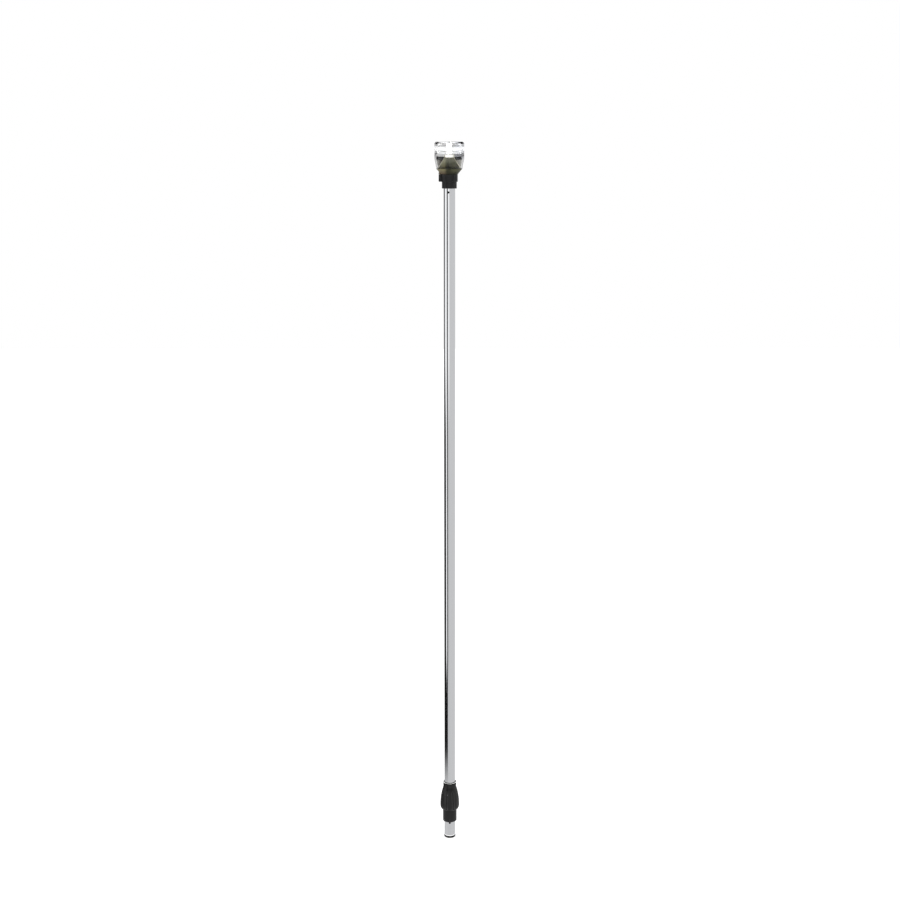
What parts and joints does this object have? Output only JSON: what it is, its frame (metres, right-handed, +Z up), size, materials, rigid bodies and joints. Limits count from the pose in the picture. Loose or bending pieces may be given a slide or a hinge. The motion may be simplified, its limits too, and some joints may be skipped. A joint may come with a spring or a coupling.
{
  "type": "plug-in pole navigation light",
  "caption": "All-round white navigation light on a straight plug-in aluminium pole, with a clear lens, a black base and a sliding, turning locking collar above the plug.",
  "frame": {"origin": "centre of the plug's end face, at the foot of the pole, where the light stands in its deck socket", "axes": "+Z up along the pole towards the lens; -Y is the side of the index pin and the head screw; +X to the right seen from there"},
  "size_m": [0.0484, 0.0484, 1.2192],
  "materials": {
    "clear_lens": "clear moulded polycarbonate",
    "dark_moulding": "dark olive, semi-gloss",
    "black_plastic": "black, satin",
    "ribbed_plastic": "black, fine matte texture",
    "black_rubber": "matte",
    "nylon": "natural nylon",
    "white_ceramic": "white",
    "led_phosphor": "lit white LED with a yellow phosphor",
    "circuit_board": "green solder mask",
    "red_insulation": "red wire insulation",
    "black_insulation": "black wire insulation",
    "aluminium": "bright anodised, drawn lengthwise",
    "steel": "stainless",
    "dark_steel": "dark, oxidised",
    "brass": "plain"
  },
  "bodies": {
    "root": {"lens": "clear_lens", "lens_gasket": "black_rubber", "led_pedestal": "dark_moulding", "led_tower": "dark_moulding", "light_shield": "black_plastic", "led_board": "white_ceramic", "led_post": "white_ceramic", "led_chip_1": "led_phosphor", "led_chip_2": "led_phosphor", "led_chip_3": "led_phosphor", "led_chip_4": "led_phosphor", "led_lead_red": "red_insulation", "led_lead_black": "black_insulation", "driver_board": "circuit_board", "head_base": "black_plastic", "base_gasket": "black_rubber", "pedestal_screw_1": "steel", "pedestal_screw_2": "steel", "pedestal_screw_3": "steel", "head_screw": "steel", "pole_seal": "black_rubber", "pole_tube": "aluminium", "wire_red": "red_insulation", "wire_black": "black_insulation", "plug_body": "black_plastic", "plug_seal": "black_rubber", "contact_positive": "brass", "contact_negative": "brass", "index_pin": "dark_steel"},
    "bush": {"collar_bush": "nylon", "collar_seal": "black_rubber"},
    "grip": {"collar_grip": "ribbed_plastic"}
  },
  "joints": [
    {"name": "collar_slide", "type": "slide", "parent": "root", "child": "bush", "axis": [0, 0, 1], "range_m": [0, 1.0305]},
    {"name": "collar_turn", "type": "hinge", "parent": "bush", "child": "grip", "pos_m": [0, 0, 0.068], "axis": [0, 0, 1], "continuous": true}
  ]
}
